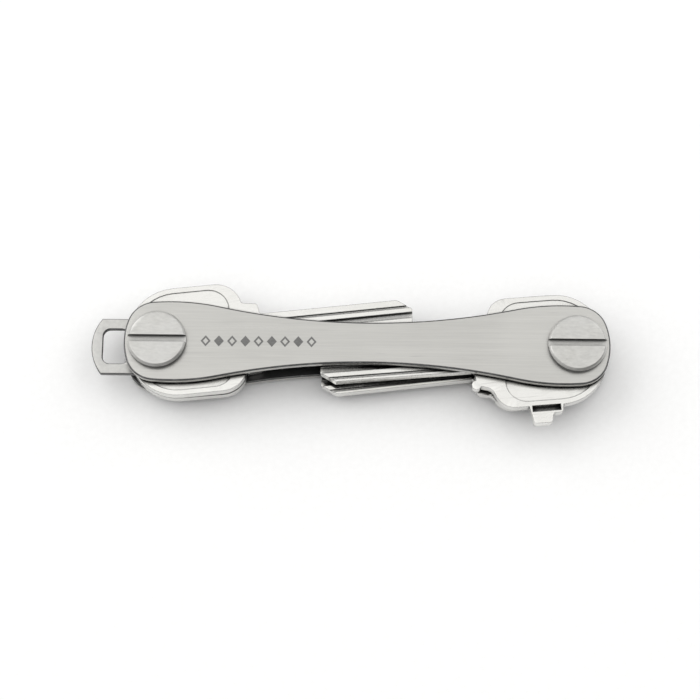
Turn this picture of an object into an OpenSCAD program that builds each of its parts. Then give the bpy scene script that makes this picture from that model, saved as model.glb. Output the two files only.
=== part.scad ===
// Pocket key organiser: two dog-bone side plates held apart by two screw posts, with four keys folded between them
// and a swivelling loop on the left post. It lies flat on its two dished screw heads.
// +X runs along the plates away from the loop, and +Z points out of the coin-slot side.

/* [Plates] */
// Length of each side plate
plate_length = 92; // [88:1:100]
// Width of each plate across its ends
end_width = 15.9; // [15.5:0.1:17]
// Width of each plate at its waist
waist_width = 8.1; // [7.5:0.1:9.5]
// Thickness of each plate
plate_t = 1.5; // [1.2:0.1:1.8]
// Distance between the two posts
post_spacing = 79.4; // [78:0.2:80]
// Radius of the convex curve that forms each end
end_curve_r = 43; // [38:1:50]
// Radius of the corners at each end
corner_r = 5.5; // [4.5:0.1:6]

/* [Posts and screws] */
// Outer diameter of the threaded barrel posts
post_d = 5; // [4.6:0.1:5.2]
// Diameter of the coin-slot heads
slotted_head_d = 11.1; // [10:0.1:11.5]
// Height of the coin-slot heads
slotted_head_h = 1.45; // [1.2:0.05:1.6]
// Width of the coin slot in each head
slot_w = 1.4; // [1:0.1:1.8]
// Depth of the coin slot
slot_depth = 0.8; // [0.5:0.1:0.9]
// Diameter of the dished screw heads
screw_head_d = 10.7; // [10:0.1:11.2]
// Height of the dished heads at their rim
screw_head_h = 0.9; // [0.7:0.05:1.2]
// Hex socket width across its flats
hex_af = 2; // [1.8:0.1:2.4]
// Diameter of the screw shanks
shank_d = 3; // [2.6:0.1:3.2]

/* [Stack] */
// Thickness of each key
key_t = 1.95; // [1.8:0.05:2.1]
// Thickness of the loop
loop_t = 1.2; // [1:0.1:1.4]
// Thickness of each thin end washer
shim_t = 0.2; // [0.15:0.05:0.3]
// Play between pieces that turn on each other
play = 0.04; // [0.03:0.01:0.06]
// Radial clearance of every turning piece on its post
running_fit = 0.05; // [0.02:0.01:0.09]

/* [Keys] */
// Distance from a key's hole to its tip
key_reach = 48.8; // [46:0.1:49]
// Height of the widest bow, on the upper key of the right post
bow_height = 21.8; // [21.2:0.1:22.2]
// How far the bow reaches past the hole, away from the blade
bow_back = 5.6; // [5:0.1:6]
// How far the bow reaches past the hole, towards the blade
bow_front = 15.9; // [15:0.1:16.4]
// Width of the left keys' blades
left_blade_w = 7.8; // [7:0.1:7.8]
// Width of the right keys' blades
right_blade_w = 6.2; // [5.8:0.1:7]
// Resting angle of the upper key on the left post
left_upper_angle = 6.6; // [6.6:0.1:8]
// Resting angle of the lower key on the left post
left_lower_angle = 5.8; // [5.6:0.1:8]
// Resting angle of the upper key on the right post
right_upper_angle = 5.2; // [5.2:0.1:7]
// Resting angle of the lower key on the right post
right_lower_angle = 7; // [6.2:0.1:9]

/* [Loop] */
// Width of the loop across its sides
loop_width = 11; // [10:0.2:12]
// Distance from the left post to the loop's outer edge
loop_reach = 12.75; // [12.5:0.05:13.5]
// Width of the loop's bars
loop_bar = 2.05; // [1.8:0.05:2.3]

/* [Hidden] */

$fn = 96;
over = 0.5;                 // how far a cutting solid runs past the faces it cuts
arc_steps = 10;             // segments on each rounded corner of an outline

half_l = plate_length / 2;
post_x = post_spacing / 2;
gap = 2 * shim_t + 2 * key_t + loop_t + 4 * play;
inner_z = gap / 2;
outer_z = inner_z + plate_t;
shim_z = inner_z - shim_t / 2;
key_z = inner_z - shim_t - play - key_t / 2;
spacer_t = loop_t / 2;
bore_d = post_d + 2 * running_fit;

// The origin is under the middle of the whole object: halfway between the loop's outer edge and the far plate end,
// and a little towards the right upper key's ear, which stands out further than the bows do on the other side.
// The dished heads' rims are at z = 0.
origin_x = (half_l - post_x - loop_reach) / 2;
origin_y = -1.54;
origin_z = -outer_z - screw_head_h;

// ---------- outlines ----------

function unit(v) = v / norm(v);

// An arc of radius r that rounds the corner b between the neighbours a and c
function corner_arc(a, b, c, r) =
    let (u = unit(a - b), v = unit(c - b))
    let (half = acos(u * v) / 2, centre = b + unit(u + v) * r / sin(half))
    let (from = b + u * r / tan(half) - centre, to = b + v * r / tan(half) - centre)
    let (start = atan2(from.y, from.x), turn = atan2(to.y, to.x) - start)
    let (sweep = turn > 180 ? turn - 360 : turn < -180 ? turn + 360 : turn)
    [for (i = [0:arc_steps]) centre + r * [cos(start + sweep * i / arc_steps), sin(start + sweep * i / arc_steps)]];

// A closed outline with each of its points [x, y, r] rounded to radius r, or left sharp where r is 0
function rounded(path) =
    let (n = len(path), at = [for (p = path) [p.x, p.y]])
    [for (i = [0:n - 1]) each path[i].z == 0 ? [at[i]]
        : corner_arc(at[(i + n - 1) % n], at[i], at[(i + 1) % n], path[i].z)];

function arc(centre, r, from, to, steps) =
    [for (i = [0:steps]) centre + r * [cos(from + (to - from) * i / steps), sin(from + (to - from) * i / steps)]];

// One quarter of the dog-bone outline: a hollow waist curve, a full end curve, a corner and a shallow end arc,
// each tangent to the next
end_peak = half_l - 9;
narrowing = (end_width - waist_width) / 2;
waist_curve_r = (end_peak * end_peak + narrowing * narrowing) / (2 * narrowing) - end_curve_r;
waist_turn = asin(end_peak / (waist_curve_r + end_curve_r));
corner_turn = asin((half_l - corner_r - 0.4 - end_peak) / (end_curve_r - corner_r));
end_curve_centre = [end_peak, end_width / 2 - end_curve_r];
corner_centre = end_curve_centre + (end_curve_r - corner_r) * [sin(corner_turn), cos(corner_turn)];
corner_inset = half_l - corner_centre.x;
cap_r = (corner_inset * corner_inset + corner_centre.y * corner_centre.y - corner_r * corner_r)
    / (2 * (corner_inset - corner_r));
cap_turn = asin(corner_centre.y / (cap_r - corner_r));
plate_quarter = concat(
    arc([0, waist_width / 2 + waist_curve_r], waist_curve_r, -90, -90 + waist_turn, 24),
    arc(end_curve_centre, end_curve_r, 90 + waist_turn - 1, 90 - corner_turn, 16),
    arc(corner_centre, corner_r, 89 - corner_turn, cap_turn, 14),
    arc([half_l - cap_r, 0], cap_r, cap_turn - 1, 0, 5));

function mirrored_x(points) = [for (i = [len(points) - 1:-1:0]) [-points[i].x, points[i].y]];
function mirrored_y(points) = [for (i = [len(points) - 1:-1:0]) [points[i].x, -points[i].y]];

plate_upper_half = concat(mirrored_x(plate_quarter), plate_quarter);
plate_outline = concat(plate_upper_half, mirrored_y(plate_upper_half));

// ---------- placing ----------

// A flat piece of thickness t, centred on the given z
module slab(t, z = 0) {
    translate([0, 0, z - t / 2]) linear_extrude(height = t) children();
}

// A round piece along Z, from z0 to z1
module round_bar(d, z0, z1) {
    translate([0, 0, z0]) cylinder(d = d, h = z1 - z0);
}

// The assembled organiser as it lies, with its middle layer's coordinates moved to the object's own origin
module lying() {
    translate(-[origin_x, origin_y, origin_z]) children();
}

module on_left_post(angle = 0) {
    lying() translate([-post_x, 0, 0]) rotate([0, 0, angle]) children();
}

// The right post's pieces are drawn as the left ones are and turned round to face the other way
module on_right_post(angle = 0) {
    lying() translate([post_x, 0, 0]) rotate([0, 0, 180 + angle]) children();
}

// ---------- plates, posts and screws ----------

module plate(z) {
    difference() {
        slab(plate_t, z) polygon(plate_outline);
        for (x = [-post_x, post_x])
            translate([x, 0, 0]) round_bar(bore_d, z - plate_t / 2 - over, z + plate_t / 2 + over);
    }
}

module upper_plate() {
    color([0.76, 0.76, 0.74]) lying() plate(inner_z + plate_t / 2);
}

module lower_plate() {
    color([0.80, 0.78, 0.77]) lying() plate(-inner_z - plate_t / 2);
}

// Barrel post with a chamfered coin-slot head, threaded from its foot
module barrel_post() {
    chamfer = 0.45;
    foot = -outer_z + 0.15;
    rim = slotted_head_d / 2;
    difference() {
        union() {
            round_bar(post_d, foot, outer_z + over);
            translate([0, 0, outer_z]) rotate_extrude()
                polygon([[0, 0], [rim, 0], [rim, slotted_head_h - chamfer],
                         [rim - chamfer, slotted_head_h], [0, slotted_head_h]]);
        }
        translate([-slotted_head_d, -slot_w / 2, outer_z + slotted_head_h - slot_depth])
            cube([2 * slotted_head_d, slot_w, slotted_head_h]);
        round_bar(shank_d + 2 * running_fit, foot - over, foot + 6);
    }
}

module left_post() {
    color([0.74, 0.74, 0.72]) on_left_post() barrel_post();
}

module right_post() {
    color([0.74, 0.74, 0.72]) on_right_post() barrel_post();
}

// Screw with a shallow dished head, a raised rim and a hex socket inside a small round recess
module dished_screw() {
    rim = screw_head_d / 2;
    rim_round = 0.35;
    recess_r = 1.65;
    dish_depth = 0.35;
    shank_length = 4.5;
    socket_depth = 1.5;
    floor_h = screw_head_h - dish_depth;
    translate([0, 0, -outer_z]) mirror([0, 0, 1]) difference() {
        union() {
            rotate_extrude()
                polygon([[0, 0], [rim, 0], [rim, screw_head_h - rim_round], [rim - rim_round, screw_head_h],
                         [rim - 2 * rim_round, screw_head_h], [recess_r, floor_h], [0, floor_h]]);
            round_bar(shank_d, -shank_length, 0.1);
        }
        translate([0, 0, floor_h - 0.15]) cylinder(r = recess_r, h = 1);
        translate([0, 0, floor_h - socket_depth]) cylinder(d = hex_af / cos(30), h = 2 * socket_depth, $fn = 6);
    }
}

module left_screw() {
    color([0.90, 0.90, 0.90]) on_left_post() dished_screw();
}

module right_screw() {
    color([0.90, 0.90, 0.90]) on_right_post() dished_screw();
}

// ---------- washers ----------

module washer(t, z) {
    washer_d = 9;
    difference() {
        round_bar(washer_d, z - t / 2, z + t / 2);
        round_bar(bore_d, z - t, z + t);
    }
}

module left_upper_shim() {
    color("silver") on_left_post() washer(shim_t, shim_z);
}

module left_lower_shim() {
    color("silver") on_left_post() washer(shim_t, -shim_z);
}

module right_upper_shim() {
    color("silver") on_right_post() washer(shim_t, shim_z);
}

module right_lower_shim() {
    color("silver") on_right_post() washer(shim_t, -shim_z);
}

module right_upper_spacer() {
    color("silver") on_right_post() washer(spacer_t, spacer_t / 2);
}

module right_lower_spacer() {
    color("silver") on_right_post() washer(spacer_t, -spacer_t / 2);
}

// ---------- keys ----------

// Every outline runs along +X from the key's hole. On the left post +Y is the side with the plates' upper edge;
// on the right post it is the side with their lower edge.
right_upper_bow_r = bow_height / 2;
left_upper_bow_r = right_upper_bow_r - 0.2;
left_lower_bow_r = right_upper_bow_r - 0.6;
right_lower_bow_r = right_upper_bow_r - 1.2;
left_blade_r = left_blade_w / 2;
right_blade_r = right_blade_w / 2;
back_corner_r = 9.3;
front_corner_r = 5;
shoulder_x = bow_front + 3.9;
shoulder_r = 6.2;
tip_slant = 2;

function blade_outline(blade_r) = [
    [shoulder_x - 0.3, -shoulder_r + 0.2, 0.6], [shoulder_x, -blade_r, 0.5],
    [key_reach - 0.6, -blade_r, 0.3], [key_reach, blade_r - tip_slant, 0.6],
    [key_reach - tip_slant - 0.8, blade_r, 0.3], [shoulder_x, blade_r, 0.5],
    [shoulder_x - 0.3, shoulder_r - 0.2, 0.6]];

function plain_key(bow_r, blade_r) = rounded([
    [-bow_back, bow_r, back_corner_r], [-bow_back, -bow_r, back_corner_r],
    [bow_front, -bow_r, front_corner_r], [bow_front + 0.6, -shoulder_r - 0.2, 0.6],
    each blade_outline(blade_r),
    [bow_front + 0.6, shoulder_r + 0.2, 0.6], [bow_front, bow_r, front_corner_r]]);

// The flanks of a waisted key's bow run down to the shoulders in an S
function waisted_key(bow_r, blade_r) = rounded([
    [-bow_back, bow_r, back_corner_r], [-bow_back, -bow_r, back_corner_r],
    [bow_front - 0.9, -bow_r, 3.8], [bow_front + 0.9, -shoulder_r - 0.6, 2],
    each blade_outline(blade_r),
    [bow_front + 0.9, shoulder_r + 0.6, 2], [bow_front - 0.9, bow_r, 3.8]]);

// The stamped panel follows the bow's edge at a small distance
panel_margin = 1;
panel_depth = 0.15;
function panel(bow_r) = rounded([
    [-bow_back + panel_margin, bow_r - panel_margin, back_corner_r - panel_margin],
    [-bow_back + panel_margin, panel_margin - bow_r, back_corner_r - panel_margin],
    [bow_front - 1.8 * panel_margin, panel_margin - bow_r, front_corner_r - panel_margin],
    [bow_front - 1.8 * panel_margin, bow_r - panel_margin, front_corner_r - panel_margin]]);

// Cut depths of the bitting, from the shoulder to the tip
left_upper_cuts = [2.0, 0.8, 2.6, 1.6, 2.2];
left_lower_cuts = [1.2, 2.4, 1.6, 2.8, 0.9];
right_upper_cuts = [1.2, 2.2, 1.6, 2.4, 1.9];
right_lower_cuts = [1.4, 2.2, 1.0, 1.8, 2.3];
first_cut = 5;              // from the shoulder to the first cut
cut_pitch = 4;
cut_flat = 1.1;

// Trapezoid notches in the -Y edge of the blade, the one that the plates cover
module bitting(cuts, blade_r) {
    for (i = [0:len(cuts) - 1])
        translate([shoulder_x + first_cut + i * cut_pitch, -blade_r])
            polygon([[-cut_flat / 2, cuts[i]], [cut_flat / 2, cuts[i]],
                     [cut_flat / 2 + cuts[i] + over, -over], [-cut_flat / 2 - cuts[i] - over, -over]]);
}

// A milled groove along one face of the blade; side is 1 for the upper face and -1 for the lower face
module groove(side, y, width, depth) {
    length = key_reach - shoulder_x + 2 * over;
    z = side > 0 ? key_t / 2 - depth : -key_t / 2 - over;
    translate([shoulder_x - over, y - width / 2, z]) cube([length, width, depth + over]);
}

// The bow's stamped panel, round a raised hub; side is 1 for the upper face and -1 for the lower face
module bow_panel(side, bow_r) {
    hub_r = 5.6;
    z = side > 0 ? key_t / 2 - panel_depth : -key_t / 2 - over;
    translate([0, 0, z]) linear_extrude(height = panel_depth + over) difference() {
        polygon(panel(bow_r));
        circle(r = hub_r);
    }
}

// A key blank of the given outline, with its bitting, panels, grooves and hole
module key(outline, bow_r, blade_r, cuts) {
    difference() {
        slab(key_t) difference() {
            polygon(outline);
            bitting(cuts, blade_r);
        }
        groove(1, 0.7, 1.2, 0.7);
        groove(1, 2.4, 0.5, 0.3);
        groove(-1, -0.7, 1.4, 0.6);
        bow_panel(1, bow_r);
        bow_panel(-1, bow_r);
        round_bar(bore_d, -key_t, key_t);
    }
}

key_colour = [0.88, 0.87, 0.85];

module left_upper_key() {
    outline = plain_key(left_upper_bow_r, left_blade_r);
    color(key_colour) on_left_post(left_upper_angle) translate([0, 0, key_z])
        key(outline, left_upper_bow_r, left_blade_r, left_upper_cuts);
}

module left_lower_key() {
    outline = plain_key(left_lower_bow_r, left_blade_r);
    color(key_colour) on_left_post(left_lower_angle) translate([0, 0, -key_z])
        key(outline, left_lower_bow_r, left_blade_r, left_lower_cuts);
}

module right_lower_key() {
    outline = waisted_key(right_lower_bow_r, right_blade_r);
    color(key_colour) on_right_post(right_lower_angle) translate([0, 0, -key_z])
        key(outline, right_lower_bow_r, right_blade_r, right_lower_cuts);
}

// This key also has a small shoulder bump and an ear with a blind slot on its +Y edge
module right_upper_key() {
    edge = right_upper_bow_r;
    ear_x = 6.9;
    ear_r = 3.4;            // half the ear's length along the edge
    ear_h = 1.55;           // and how far it stands out
    tab_near = -0.8;        // the ends of the tab on it, from the ear's middle
    tab_far = 2.6;
    tab_h = 3.4;
    flank = 0.4;            // how far the sides lean in
    slot_length = 5.4;
    slot_h = 1.2;
    slot_y = edge - 0.1;
    slot_floor = 0.35;      // what is left under the blind slot
    bump_r = 0.9;
    outline = waisted_key(right_upper_bow_r, right_blade_r);
    ear = rounded([
        [-ear_r, -1, 0], [ear_r, -1, 0], [tab_far, tab_h, 0.5], [tab_near, tab_h, 0.5],
        [tab_near - flank, ear_h, 0.4], [-ear_r + flank, ear_h, 0.5]]);
    color(key_colour) on_right_post(right_upper_angle) translate([0, 0, key_z]) difference() {
        union() {
            key(outline, right_upper_bow_r, right_blade_r, right_upper_cuts);
            translate([ear_x, edge, 0]) slab(key_t) polygon(ear);
            translate([shoulder_x - 0.2, shoulder_r - 0.3, 0]) slab(key_t) circle(r = bump_r);
        }
        translate([ear_x - slot_length / 2, slot_y, slot_floor - key_t / 2])
            cube([slot_length, slot_h, key_t]);
    }
}

// ---------- loop ----------

loop_r = loop_width / 2;
loop_bulge = 1.9;
loop_arc_r = (loop_r * loop_r + loop_bulge * loop_bulge) / (2 * loop_bulge);
loop_arc_turn = asin(loop_r / loop_arc_r);

module loop_outline() {
    window_far = -loop_reach + loop_bar + 0.1;
    window_near = -6;
    window_r = loop_r - loop_bar;
    difference() {
        union() {
            circle(r = loop_r);
            polygon(concat([[0, -loop_r], [0, loop_r]],
                arc([-loop_reach + loop_arc_r, 0], loop_arc_r, 180 - loop_arc_turn, 180 + loop_arc_turn, 12)));
        }
        polygon(rounded([[window_near, -window_r, 1], [window_near, window_r, 1],
            [window_far, window_r, 1.4], [window_far, -window_r, 1.4]]));
    }
}

module loop_tab() {
    color([0.72, 0.71, 0.70]) on_left_post() difference() {
        slab(loop_t) loop_outline();
        round_bar(bore_d, -loop_t, loop_t);
    }
}

upper_plate();
lower_plate();
left_post();
right_post();
left_screw();
right_screw();
left_upper_shim();
left_lower_shim();
right_upper_shim();
right_lower_shim();
right_upper_spacer();
right_lower_spacer();
left_upper_key();
left_lower_key();
right_upper_key();
right_lower_key();
loop_tab();
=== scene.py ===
"""Looks, lights and camera for a folding key organiser lying flat, coin slots up."""

import math

import bmesh
import bpy
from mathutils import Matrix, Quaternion, Vector


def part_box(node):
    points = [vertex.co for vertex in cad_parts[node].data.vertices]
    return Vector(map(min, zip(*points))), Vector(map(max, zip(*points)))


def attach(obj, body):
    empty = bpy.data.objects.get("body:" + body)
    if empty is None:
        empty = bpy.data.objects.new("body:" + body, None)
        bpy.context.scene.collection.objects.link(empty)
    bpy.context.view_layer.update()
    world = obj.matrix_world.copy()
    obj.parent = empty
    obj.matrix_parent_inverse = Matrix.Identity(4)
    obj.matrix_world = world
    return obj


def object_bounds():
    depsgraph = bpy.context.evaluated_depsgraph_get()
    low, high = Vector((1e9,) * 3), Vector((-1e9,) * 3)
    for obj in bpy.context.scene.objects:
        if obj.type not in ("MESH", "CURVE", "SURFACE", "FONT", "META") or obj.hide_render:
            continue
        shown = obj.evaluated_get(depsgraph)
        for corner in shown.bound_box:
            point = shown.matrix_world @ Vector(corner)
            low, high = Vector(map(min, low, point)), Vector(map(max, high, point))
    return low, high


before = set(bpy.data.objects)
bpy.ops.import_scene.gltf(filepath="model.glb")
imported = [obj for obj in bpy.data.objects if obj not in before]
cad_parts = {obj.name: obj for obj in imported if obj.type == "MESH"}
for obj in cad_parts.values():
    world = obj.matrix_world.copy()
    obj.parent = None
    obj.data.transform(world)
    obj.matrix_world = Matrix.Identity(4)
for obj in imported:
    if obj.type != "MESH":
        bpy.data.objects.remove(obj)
cad_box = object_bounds()

MM = 0.001

# ---------- the frame's own sizes ----------

plate_low, plate_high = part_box("upper_plate")
under_low, under_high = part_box("lower_plate")
left_head_low, left_head_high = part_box("left_post")
right_head_low, right_head_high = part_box("right_post")
plate_middle = (plate_low + plate_high) / 2
left_post = (left_head_low + left_head_high) / 2
right_post = (right_head_low + right_head_high) / 2


# ---------- node helpers ----------

class Look:
    """One procedural material, built up node by node round its Principled shader."""

    def __init__(self, name):
        self.material = bpy.data.materials.new(name)
        self.material.use_nodes = True
        self.tree = self.material.node_tree
        self.shader = self.tree.nodes["Principled BSDF"]
        self.place = self.tree.nodes.new("ShaderNodeTexCoord").outputs["Object"]

    def node(self, kind, **inputs):
        made = self.tree.nodes.new(kind)
        for name, value in inputs.items():
            self.put(made.inputs[name.replace("_", " ")], value)
        return made

    def put(self, socket, value):
        if isinstance(value, bpy.types.NodeSocket):
            self.tree.links.new(value, socket)
        else:
            socket.default_value = value

    def set(self, **values):
        for name, value in values.items():
            self.put(self.shader.inputs[name.replace("_", " ")], value)

    def stretched(self, scale, centre=(0, 0, 0), turn=0.0):
        """Object coordinates in metres, moved to centre, turned about Z and multiplied by scale."""
        moved = self.node("ShaderNodeVectorMath", Vector=self.place)
        moved.operation = "SUBTRACT"
        moved.inputs[1].default_value = centre
        turned = self.node("ShaderNodeVectorRotate", Vector=moved.outputs[0], Angle=-turn)
        sized = self.node("ShaderNodeVectorMath", Vector=turned.outputs[0])
        sized.operation = "MULTIPLY"
        sized.inputs[1].default_value = scale
        return sized.outputs[0]

    def noise(self, place, detail=3.0, roughness=0.6, distortion=0.0):
        made = self.node("ShaderNodeTexNoise", Vector=place, Scale=1.0, Detail=detail,
                         Roughness=roughness, Distortion=distortion)
        return made.outputs["Fac"]

    def ranged(self, value, low, high, out_low, out_high):
        made = self.node("ShaderNodeMapRange")
        for index, item in enumerate((value, low, high, out_low, out_high)):
            self.put(made.inputs[index], item)
        return made.outputs[0]

    def share(self, value, low, high):
        """0 where value is low or less, 1 where it is high or more."""
        return self.ranged(value, low, high, 0.0, 1.0)

    def math(self, operation, a, b):
        made = self.tree.nodes.new("ShaderNodeMath")
        made.operation = operation
        self.put(made.inputs[0], a)
        self.put(made.inputs[1], b)
        return made.outputs[0]

    def blend(self, factor, a, b):
        """Colour a where factor is 0 and colour b where it is 1; either may be a socket."""
        made = self.tree.nodes.new("ShaderNodeMix")
        made.data_type = "RGBA"
        for socket, value in zip((made.inputs[0], made.inputs[6], made.inputs[7]), (factor, a, b)):
            self.put(socket, value)
        return made.outputs[2]

    def cavity_shade(self, colour, reach=8 * MM, closed=0.12, clear=0.62, deep=0.02):
        """colour, with painted shade in narrow gaps and corners.

        It is grey(deep) where no more than the share closed of the surroundings within reach is open,
        and untouched from the share clear up.
        """
        open_air = self.node("ShaderNodeAmbientOcclusion", Distance=reach)
        open_air.samples = 8
        return self.blend(self.share(open_air.outputs["AO"], closed, clear), grey(deep), colour)

    def edged(self, colour, edge_colour, width, amount=0.85):
        """colour, with a fine line of edge_colour painted where faces meet at an angle, as painted edge
        shade.
        """
        sharp = 0.90              # how far the rounded and the true normal agree on an edge
        level = 0.985             # and on a face
        rounded = self.node("ShaderNodeBevel", Radius=width)
        rounded.samples = 6
        face = self.tree.nodes.new("ShaderNodeNewGeometry")
        agree = self.node("ShaderNodeVectorMath")
        agree.operation = "DOT_PRODUCT"
        self.put(agree.inputs[0], rounded.outputs["Normal"])
        self.put(agree.inputs[1], face.outputs["Normal"])
        on_edge = self.ranged(agree.outputs["Value"], sharp, level, amount, 0.0)
        return self.blend(on_edge, colour, edge_colour)

    def sided(self, colour, side_colour):
        """colour on faces that lie flat and side_colour, painted shade, on upright ones."""
        upright = 0.15
        flat = 0.6
        face = self.tree.nodes.new("ShaderNodeNewGeometry")
        parts = self.node("ShaderNodeSeparateXYZ", Vector=face.outputs["Normal"])
        lying = self.math("ABSOLUTE", parts.outputs[2], 0.0)
        return self.blend(self.share(lying, upright, flat), side_colour, colour)

    def inner(self, colour, inner_colour, toward):
        """colour, but inner_colour as painted shade on the face whose normal points toward +Z (1) or -Z
        (-1).
        """
        face = self.tree.nodes.new("ShaderNodeNewGeometry")
        parts = self.node("ShaderNodeSeparateXYZ", Vector=face.outputs["Normal"])
        facing = self.math("MULTIPLY", parts.outputs[2], toward)
        return self.blend(self.share(facing, 0.4, 0.7), colour, inner_colour)

    def bump(self, height, depth, strength):
        made = self.node("ShaderNodeBump", Height=height, Distance=depth, Strength=strength)
        return made.outputs["Normal"]


def grey(value, warmth=0.0):
    """A grey of the given value, a little yellower for a larger warmth."""
    return (value * (1 + warmth / 4), value, value * (1 - warmth), 1.0)


# ---------- materials ----------

def brushed_steel(name, light, dark, inner_side, rough=0.33, warmth=0.04, seed=0.0):
    """Long fine brush lines along X, with broad faint streaks and a few deeper scratches.

    The face on the inner side, 1 for +Z or -1 for -Z, keeps its grain but is painted dark as the shade
    between the plates.
    """
    fine_grain = (90, 5200, 5200)
    broad_grain = (14, 900, 900)
    cloud_grain = (55, 70, 70)
    scratch_grain = (120, 2600, 2600)
    scratch_turn = 0.05
    fine_share = 0.7
    worn_light = light * 1.12
    scratch_dark = dark * 0.7
    # painted shade: the inner face, toward the other plate, is darkened
    inner_shade_dark = dark * 0.25
    inner_shade_light = dark * 0.4
    # width of the painted dark line along the plate's edges, painted edge shade
    edge_shade_width = 0.5 * MM
    look = Look(name)
    origin = (seed, seed, seed)
    fine = look.noise(look.stretched(fine_grain, origin), 4.0, 0.7)
    broad = look.noise(look.stretched(broad_grain, origin), 2.0, 0.5)
    cloud = look.noise(look.stretched(cloud_grain, origin), 3.0, 0.55)
    scratch = look.noise(look.stretched(scratch_grain, origin, turn=scratch_turn), 1.0, 0.4)
    fine_part = look.math("MULTIPLY", fine, fine_share)
    broad_part = look.math("MULTIPLY", broad, 1 - fine_share)
    lines = look.math("ADD", fine_part, broad_part)
    shade = look.share(lines, 0.30, 0.70)
    base = look.blend(shade, grey(dark, warmth), grey(light, warmth))
    worn = look.blend(look.ranged(cloud, 0.35, 0.7, 0.0, 0.22), base, grey(worn_light, warmth))
    deep = look.ranged(scratch, 0.74, 0.80, 0.0, 0.5)
    outside = look.blend(deep, worn, grey(scratch_dark))
    # painted shade on the inner face between the plates
    inner_shaded = look.blend(shade, grey(inner_shade_dark), grey(inner_shade_light))
    # painted edge shade: a dark line along the edges
    edge_shaded = look.edged(outside, grey(0.16), edge_shade_width, amount=0.6)
    # painted shade in gaps and corners over the whole plate
    look.set(Base_Color=look.cavity_shade(look.inner(edge_shaded, inner_shaded, inner_side)), Metallic=1.0)
    rough_map = look.ranged(lines, 0.3, 0.7, rough + 0.07, rough - 0.06)
    look.set(Roughness=look.math("ADD", rough_map, look.ranged(cloud, 0.3, 0.7, -0.03, 0.05)))
    look.set(Normal=look.bump(lines, 0.02 * MM, 0.55))
    return look.material


def shaded_polished_edge(name, shade, rough=0.16):
    """The broken edge of a stamped or milled piece, smoother than its faces and painted dark as edge
    shade.
    """
    look = Look(name)
    nick_grain = (700, 700, 700)
    nicked = shade * 1.9
    nick = look.noise(look.stretched(nick_grain), 3.0, 0.6)
    tone = look.blend(look.share(nick, 0.35, 0.75), grey(shade), grey(nicked))
    # the nicks are wear; the darkening in gaps and corners is painted shade
    look.set(Base_Color=look.cavity_shade(tone), Metallic=1.0)
    look.set(Roughness=look.ranged(nick, 0.3, 0.7, rough, rough + 0.14))
    look.set(Normal=look.bump(nick, 0.01 * MM, 0.3))
    return look.material


def turned_steel(name, centre, light, dark, ring_pitch, rough=0.2):
    """Concentric lathe lines round an axis along Z at centre, with a painted two-fold sheen and smudges.
    """
    flattened = (1, 1, 0)
    wobble_grain = (260, 260, 260)
    wobble_shift = 5.0            # how far the wobble shifts the lines, in radians
    smudge_grain = (420, 420, 420)
    smudged = dark * 0.8
    ring_share = 0.35
    sheen_share = 0.3
    most = ring_share + sheen_share
    edge_width = 0.12 * MM
    look = Look(name)
    local = look.stretched(flattened, centre)
    distance = look.node("ShaderNodeVectorMath", Vector=local)
    distance.operation = "LENGTH"
    radius = distance.outputs["Value"]
    wobble = look.noise(look.stretched(wobble_grain, centre), 2.0, 0.5)
    phase = look.math("MULTIPLY", radius, 2 * math.pi / ring_pitch)
    ring = look.math("SINE", look.math("ADD", phase, look.math("MULTIPLY", wobble, wobble_shift)), 0.0)
    parts = look.node("ShaderNodeSeparateXYZ", Vector=local)
    # painted highlight: a two-fold sheen round the axis, lighter and darker by turn
    around = look.math("ARCTAN2", parts.outputs[1], parts.outputs[0])
    sheen = look.math("SINE", look.math("MULTIPLY", around, 2.0), 0.0)
    smudge = look.noise(look.stretched(smudge_grain, centre), 4.0, 0.6)
    ring_part = look.math("MULTIPLY", ring, ring_share)
    sheen_part = look.math("MULTIPLY", sheen, sheen_share)
    shade = look.share(look.math("ADD", ring_part, sheen_part), -most, most)
    turned = look.blend(shade, grey(dark), grey(light))
    tone = look.blend(look.ranged(smudge, 0.5, 0.8, 0.0, 0.25), turned, grey(smudged))
    # painted edge shade: a dark line along the edges, and painted shade in gaps and corners
    look.set(Base_Color=look.cavity_shade(look.edged(tone, grey(0.08), edge_width)), Metallic=1.0)
    ring_rough = look.ranged(ring, -1.0, 1.0, rough, rough + 0.08)
    smudge_rough = look.ranged(smudge, 0.4, 0.7, 0.0, 0.08)
    look.set(Roughness=look.math("ADD", ring_rough, smudge_rough))
    look.set(Normal=look.bump(ring, 0.008 * MM, 0.5))
    return look.material


def satin_steel(name, light, dark, rough=0.34, grain=(900, 2600, 2600), side_shade=0.12):
    """A fine, even grain with soft patches, with painted shade on upright faces and in the slots."""
    warmth = 0.04
    patch_grain = (160, 160, 160)
    slot_reach = 1.6 * MM
    look = Look(name)
    fine = look.noise(look.stretched(grain), 3.0, 0.65)
    patch = look.noise(look.stretched(patch_grain), 2.0, 0.5)
    grained = look.blend(look.share(fine, 0.32, 0.68), grey(dark, warmth), grey(light, warmth))
    tone = look.blend(look.ranged(patch, 0.35, 0.7, 0.0, 0.3), grained, grey(light))
    # painted shade: upright faces darkened, then the slots, then wider gaps and corners
    shaded = look.sided(tone, grey(side_shade))
    slotted = look.cavity_shade(shaded, slot_reach, closed=0.30, clear=0.85, deep=0.10)
    look.set(Base_Color=look.cavity_shade(slotted), Metallic=1.0)
    fine_rough = look.ranged(fine, 0.3, 0.7, rough - 0.05, rough + 0.06)
    patch_rough = look.ranged(patch, 0.3, 0.7, -0.03, 0.04)
    look.set(Roughness=look.math("ADD", fine_rough, patch_rough))
    look.set(Normal=look.bump(fine, 0.012 * MM, 0.5))
    return look.material


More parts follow.
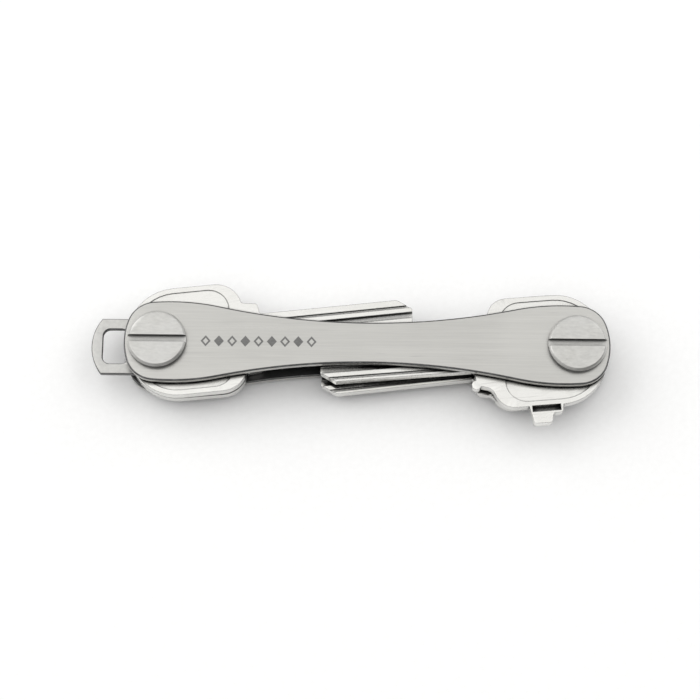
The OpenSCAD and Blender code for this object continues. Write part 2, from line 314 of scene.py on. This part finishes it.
def nickel_plate(name, light, dark, turn, seed):
    """Bright plated key metal: fine lengthwise scratches, soft smudges and a faint yellow tint."""
    warmth = 0.03
    scratch_grain = (110, 3400, 3400)
    smudge_grain = (210, 300, 300)
    smudge_dark = dark * 0.9
    smudge_warmth = 0.07
    line_width = 0.2 * MM
    groove_reach = 1.2 * MM
    look = Look(name)
    origin = (seed, -seed, 0)
    along = look.noise(look.stretched(scratch_grain, origin, turn=turn), 3.0, 0.7)
    smudge = look.noise(look.stretched(smudge_grain, origin, turn=turn), 4.0, 0.6, 0.6)
    scuff = look.share(along, 0.58, 0.78)
    scratched = look.blend(scuff, grey(light, warmth), grey(dark, warmth))
    dull = look.ranged(smudge, 0.45, 0.75, 0.0, 0.3)
    tone = look.blend(dull, scratched, grey(smudge_dark, smudge_warmth))
    # painted edge shade: a dark outline along the key's edges
    lined = look.edged(tone, grey(0.05), line_width)
    # painted shade in the grooves, then in wider gaps and corners
    grooved = look.cavity_shade(lined, groove_reach, closed=0.50, clear=0.88, deep=0.06)
    look.set(Base_Color=look.cavity_shade(grooved), Metallic=1.0)
    smudge_rough = look.ranged(smudge, 0.35, 0.7, 0.17, 0.32)
    look.set(Roughness=look.math("ADD", smudge_rough, look.math("MULTIPLY", scuff, 0.08)))
    look.set(Normal=look.bump(scuff, 0.006 * MM, 0.35))
    return look.material


def etched(name):
    """A dark satin etch with a little mottle."""
    mottle_grain = (1500, 3500, 3500)
    dark = 0.14
    light = 0.22
    warmth = 0.02
    look = Look(name)
    mottle = look.noise(look.stretched(mottle_grain), 3.0, 0.6)
    tone = look.blend(look.share(mottle, 0.3, 0.7), grey(dark, warmth), grey(light, warmth))
    look.set(Base_Color=tone, Metallic=0.6)
    look.set(Roughness=look.ranged(mottle, 0.3, 0.7, 0.5, 0.68))
    return look.material


# ---------- the CAD pieces ----------

def dress(name, material, edge, width):
    """Gives a CAD piece its material and a fine rounded edge, in the edge material unless that is None."""
    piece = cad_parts[name]
    piece.data.materials.clear()
    piece.data.materials.append(material)
    piece.data.polygons.foreach_set("use_smooth", [True] * len(piece.data.polygons))
    weld = piece.modifiers.new("weld", "WELD")
    weld.merge_threshold = 0.002 * MM
    rounding = piece.modifiers.new("edge", "BEVEL")
    rounding.width = width
    rounding.segments = 2
    rounding.limit_method = "ANGLE"
    rounding.angle_limit = math.radians(35)
    rounding.harden_normals = False
    if edge is not None:
        piece.data.materials.append(edge)
        rounding.material = 1
    normals = piece.modifiers.new("normals", "WEIGHTED_NORMAL")
    normals.keep_sharp = True


plate_break = 0.30 * MM           # widths of the pieces' broken edges
head_break = 0.08 * MM
screw_break = 0.06 * MM
shim_break = 0.03 * MM
spacer_break = 0.05 * MM
key_break = 0.17 * MM
loop_break = 0.15 * MM
lathe_pitch = 0.16 * MM
key_turn = math.radians(6)        # about how far the folded keys lie off the plates' length
loop_grain = (1500, 1500, 1500)

# bevel edges painted dark as edge shade
plate_edge = shaded_polished_edge("plate_edge", 0.09)
key_edge = shaded_polished_edge("key_edge", 0.08)
washer_steel = satin_steel("washer_steel", 0.55, 0.40)

dress("upper_plate", brushed_steel("plate_steel_upper", 0.60, 0.49, -1), plate_edge, plate_break)
dress("lower_plate", brushed_steel("plate_steel_lower", 0.62, 0.52, 1, seed=0.31), plate_edge, plate_break)
for end, centre in (("left", left_post), ("right", right_post)):
    # the heads' upright faces get darker painted shade
    head_steel = satin_steel(f"head_steel_{end}", 0.63, 0.53, side_shade=0.06)
    screw_steel = turned_steel(f"screw_steel_{end}", centre, 0.86, 0.66, lathe_pitch)
    dress(f"{end}_post", head_steel, None, head_break)
    dress(f"{end}_screw", screw_steel, None, screw_break)
    for layer in ("upper", "lower"):
        dress(f"{end}_{layer}_shim", washer_steel, None, shim_break)
for layer in ("upper", "lower"):
    dress(f"right_{layer}_spacer", washer_steel, None, spacer_break)
keys = ("left_upper_key", "left_lower_key", "right_upper_key", "right_lower_key")
for number, key in enumerate(keys, start=1):
    plating = nickel_plate(f"key_plating_{number}", 0.86, 0.66, key_turn, 0.13 * number)
    dress(key, plating, key_edge, key_break)
loop_steel = satin_steel("loop_steel", 0.60, 0.50, rough=0.36, grain=loop_grain)
dress("loop_tab", loop_steel, plate_edge, loop_break)


# ---------- etched marks ----------

def lozenge_corners(mesh, x, y, z, half_length, half_width):
    corners = ((1, 0), (0, 1), (-1, 0), (0, -1))
    return [mesh.verts.new((x + a * half_length, y + b * half_width, z)) for a, b in corners]


def lozenge(mesh, x, y, z, half_length, half_width, opening):
    """A flat lozenge at x, y, z, solid where opening is 0, or else open to that share of its size."""
    outer_ring = lozenge_corners(mesh, x, y, z, half_length, half_width)
    if opening == 0:
        mesh.faces.new(outer_ring)
        return
    inner_ring = lozenge_corners(mesh, x, y, z, half_length * opening, half_width * opening)
    for i in range(4):
        j = (i + 1) % 4
        mesh.faces.new((outer_ring[i], outer_ring[j], inner_ring[j], inner_ring[i]))


def etched_mark(name, z, up, material):
    """A plain row of alternately open and solid lozenges along the plate, just proud of its face."""
    count = 9
    off_middle = 20.5 * MM        # from the plate's middle towards the loop
    pitch = 2.5 * MM
    half_length = 0.95 * MM
    half_width = 1.1 * MM
    opening = 0.55
    middle_x = plate_middle.x - off_middle
    mesh = bmesh.new()
    for i in range(count):
        x = middle_x + (i - (count - 1) / 2) * pitch
        lozenge(mesh, x, plate_middle.y, z, half_length, half_width, opening if i % 2 == 0 else 0)
    if not up:
        bmesh.ops.reverse_faces(mesh, faces=mesh.faces)
    data = bpy.data.meshes.new(name)
    mesh.to_mesh(data)
    mesh.free()
    data.materials.append(material)
    piece = bpy.data.objects.new(name, data)
    bpy.context.scene.collection.objects.link(piece)
    depth = piece.modifiers.new("depth", "SOLIDIFY")
    depth.thickness = 0.02 * MM
    depth.offset = 0.0
    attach(piece, "frame")


etch = etched("etch")
etched_mark("etched_row_upper", plate_high.z, True, etch)
etched_mark("etched_row_lower", under_low.z, False, etch)


# ---------- floor, light and camera ----------

def pale_floor():
    """A wide sheet of white paper, just under what the organiser lies on."""
    half = 3.0
    paper_grain = (900, 900, 900)
    corners = [(-half, -half, 0), (half, -half, 0), (half, half, 0), (-half, half, 0)]
    data = bpy.data.meshes.new("floor")
    data.from_pydata(corners, [], [(0, 1, 2, 3)])
    look = Look("floor_paper")
    grain = look.noise(look.stretched(paper_grain), 2.0, 0.5)
    paper = look.blend(look.share(grain, 0.3, 0.7), grey(0.955), grey(0.98))
    look.set(Base_Color=paper, Roughness=0.9)
    data.materials.append(look.material)
    floor = bpy.data.objects.new("floor", data)
    bpy.context.scene.collection.objects.link(floor)
    floor.location.z = cad_box[0][2] - 0.02 * MM


def soft_box(name, place, target, size, power):
    light = bpy.data.lights.new(name, "AREA")
    light.shape = "RECTANGLE"
    light.size, light.size_y = size
    light.energy = power
    lamp = bpy.data.objects.new(name, light)
    lamp.location = place
    lamp.rotation_euler = (Vector(target) - Vector(place)).to_track_quat("-Z", "Y").to_euler()
    bpy.context.scene.collection.objects.link(lamp)


def studio_world():
    """White overhead, darker towards the horizon, and a little brighter on the left."""
    bright_side = (-0.3, 0.0, 1.0)
    low = 0.25
    high = 1.15
    darkest = 0.22
    brightest = 1.22
    world = bpy.data.worlds.new("studio")
    world.use_nodes = True
    bpy.context.scene.world = world
    tree = world.node_tree
    place = tree.nodes.new("ShaderNodeTexCoord").outputs["Generated"]
    height = tree.nodes.new("ShaderNodeVectorMath")
    height.operation = "DOT_PRODUCT"
    height.inputs[1].default_value = bright_side
    ramp = tree.nodes.new("ShaderNodeMapRange")
    ramp.inputs["From Min"].default_value = low
    ramp.inputs["From Max"].default_value = high
    ramp.inputs["To Min"].default_value = darkest
    ramp.inputs["To Max"].default_value = brightest
    tree.links.new(place, height.inputs[0])
    tree.links.new(height.outputs["Value"], ramp.inputs[0])
    sky = tree.nodes["Background"]
    sky.inputs["Color"].default_value = grey(1.0, 0.01)
    tree.links.new(ramp.outputs[0], sky.inputs["Strength"])


def photo_camera():
    """Looks down steeply from the front, with the plates running across the frame."""
    elevation = math.radians(71.5)
    roll = math.radians(0.6)
    distance = 0.42
    frame_width = 0.132           # width of the frame at the target
    sensor = 36.0
    target = Vector((0.0, 0.0, plate_high.z))
    data = bpy.data.cameras.new("camera")
    data.sensor_width = sensor
    data.lens = sensor * distance / frame_width
    camera = bpy.data.objects.new("camera", data)
    offset = Vector((0.0, -math.cos(elevation), math.sin(elevation))) * distance
    camera.location = target + offset
    camera.rotation_mode = "QUATERNION"
    camera.rotation_quaternion = (-offset).to_track_quat("-Z", "Y") @ Quaternion((0, 0, 1), roll)
    bpy.context.scene.collection.objects.link(camera)
    bpy.context.scene.camera = camera


pale_floor()
studio_world()
box_size = (2.0, 1.4)
box_out = 1.1                     # how far the boxes stand to either side,
box_back = 0.5                    # behind the organiser
box_up = 0.9                      # and above it
soft_box("left", (-box_out, box_back, box_up), (0, 0, 0), box_size, 10.3)
soft_box("right", (box_out, box_back, box_up), (0, 0, 0), box_size, 8.7)
photo_camera()
bpy.context.scene.view_settings.view_transform = "Standard"
